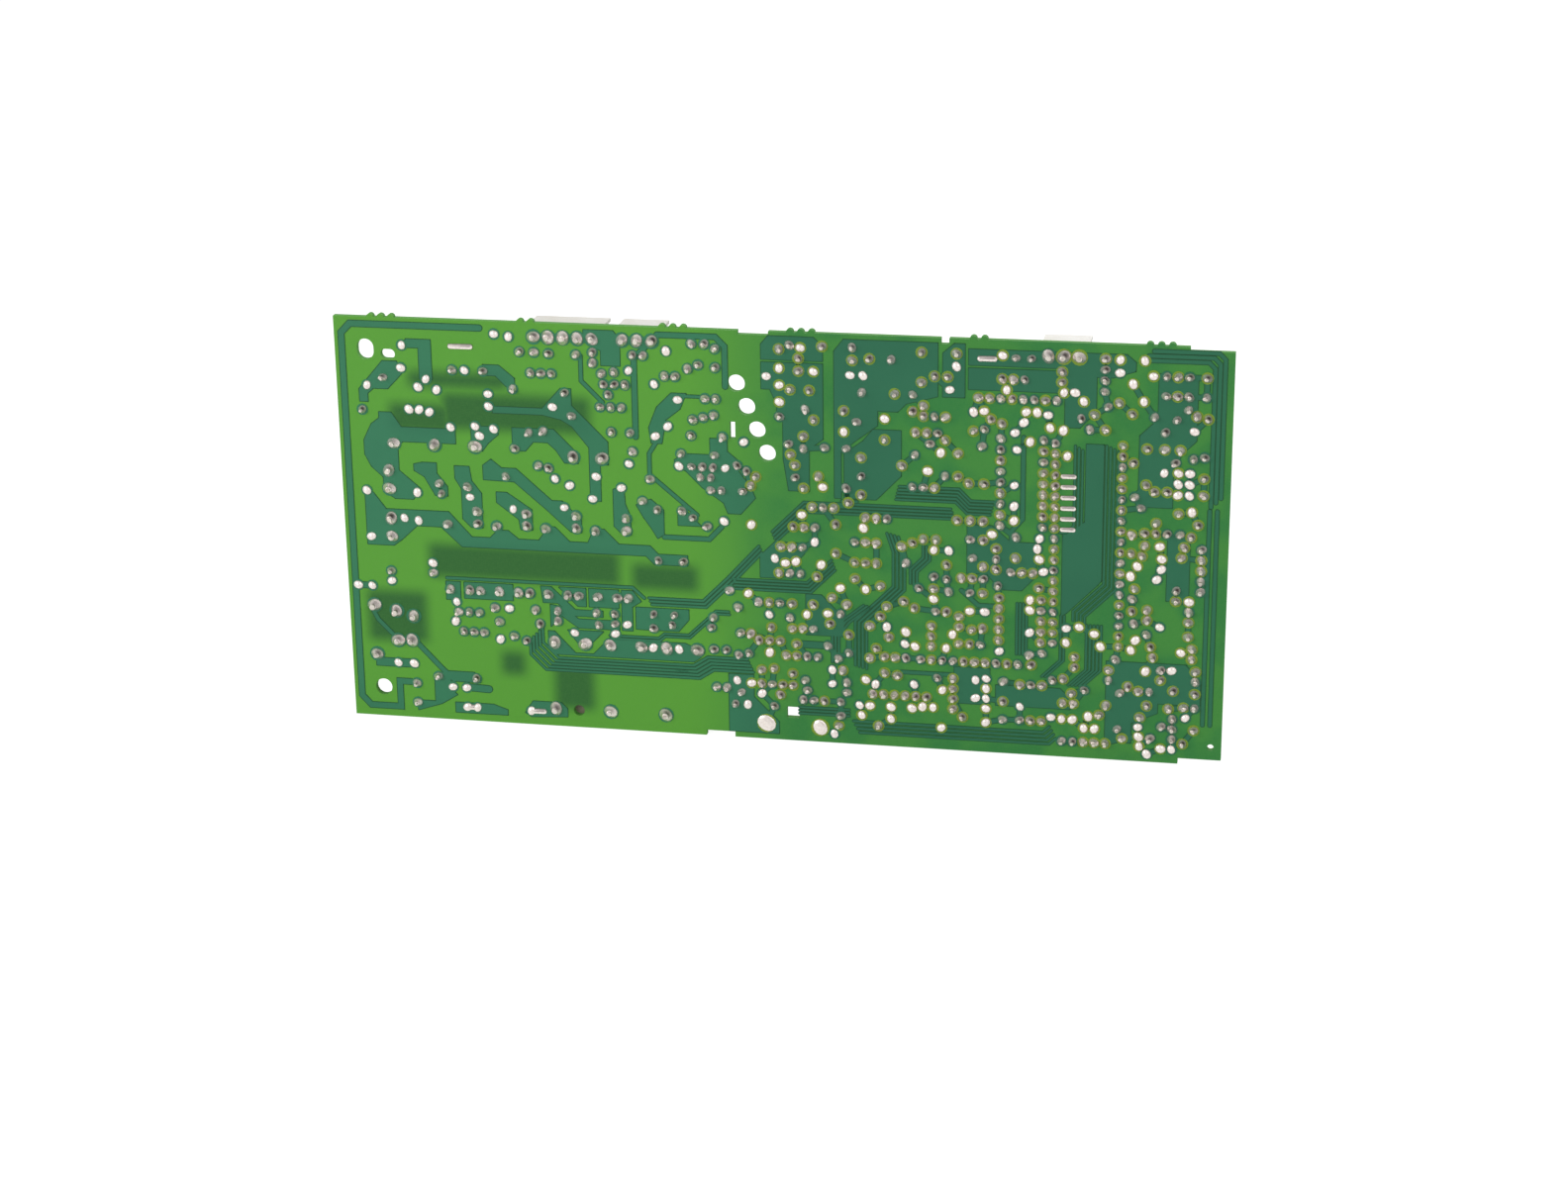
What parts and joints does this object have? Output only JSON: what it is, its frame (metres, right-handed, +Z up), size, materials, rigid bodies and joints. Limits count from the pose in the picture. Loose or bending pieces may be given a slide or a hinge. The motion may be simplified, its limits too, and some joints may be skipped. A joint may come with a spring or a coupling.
{
  "type": "microwave control board",
  "caption": "Single-sided microwave oven control board standing upright, soldered face forward, with relays, mains transformer, fuse, microcontroller and connectors behind.",
  "frame": {"origin": "centre of the mouth of the lower fixing hole, on the soldered face of the laminate", "axes": "+X along the board's length, to the right as the soldered face is seen; +Z up the board's height; -Y straight out of the soldered face, with the components on the +Y side"},
  "size_m": [0.21, 0.0401, 0.1008],
  "materials": {
    "laminate": "Woven glass and paper laminate, translucent green, with a dull lacquer; the saw-cut edges are paler.",
    "lacquered_foil": "Copper tracks under a green solder lacquer, teal in colour and slightly raised.",
    "solder": "Tin-lead solder, bright but uneven, with dull grey tops.",
    "tin_plate": "Tinned copper and tinned brass leads.",
    "black_moulding": "Black moulded epoxy or polyester, fine matt grain.",
    "cream_moulding": "Cream nylon or polyester moulding, slightly glossy.",
    "brass": "Tin-washed brass blade.",
    "core_steel": "Stacked transformer laminations with a dark varnish.",
    "bobbin_moulding": "Glass-filled nylon bobbin.",
    "copper_wire": "Enamelled copper winding.",
    "tape": "Yellow polyester tape round the second winding.",
    "resistor_coat": "Resistor lacquer with painted rings.",
    "ceramic_coat": "Dipped ceramic disc coating.",
    "surge_coat": "Blue dipped epoxy coating.",
    "can_aluminium": "Bare drawn aluminium can.",
    "sleeve": "Shrunk plastic sleeve.",
    "film_coat": "Film capacitor box or dip coating.",
    "glass": "Clear glass fuse tube.",
    "nickel": "Nickel-plated brass.",
    "sink_aluminium": "Extruded aluminium heat sink."
  },
  "bodies": {
    "root": {"laminate": "laminate", "copper_foil": "lacquered_foil", "lead_solder": "solder", "pin_solder": "solder", "power_solder": "solder", "pad_solder": "solder", "tinned_bars": "solder", "microcontroller": "black_moulding", "microcontroller_pins": "tin_plate", "relay_cases": "cream_moulding", "relay_bases": "black_moulding", "relay_pins": "tin_plate", "power_relay_case": "black_moulding", "power_relay_base": "black_moulding", "power_relay_pins": "tin_plate", "power_relay_tabs": "brass", "transformer_core": "core_steel", "transformer_bobbin": "bobbin_moulding", "transformer_coil": "copper_wire", "transformer_tape": "tape", "transformer_pins": "tin_plate", "resistors": "resistor_coat", "resistor_leads": "tin_plate", "upright_resistors": "resistor_coat", "upright_resistor_leads": "tin_plate", "diodes": "black_moulding", "diode_leads": "tin_plate", "disc_capacitors": "ceramic_coat", "disc_capacitor_leads": "tin_plate", "transistors": "black_moulding", "transistor_legs": "tin_plate", "can_capacitors": "can_aluminium", "can_sleeves": "sleeve", "can_leads": "tin_plate", "film_capacitors": "film_coat", "film_capacitor_leads": "tin_plate", "wire_links": "tin_plate", "connector_housings": "cream_moulding", "connector_pins": "tin_plate", "mains_housing": "cream_moulding", "mains_pins": "tin_plate", "output_housings": "cream_moulding", "output_pins": "tin_plate", "fuse_tube": "glass", "fuse_caps": "nickel", "fuse_clips": "nickel", "surge_disc": "surge_coat", "surge_disc_leads": "tin_plate", "regulator": "black_moulding", "regulator_legs": "tin_plate", "heat_sink": "sink_aluminium", "buzzer_case": "black_moulding", "buzzer_legs": "tin_plate", "resonator": "surge_coat", "resonator_leads": "tin_plate"}
  },
  "joints": []
}
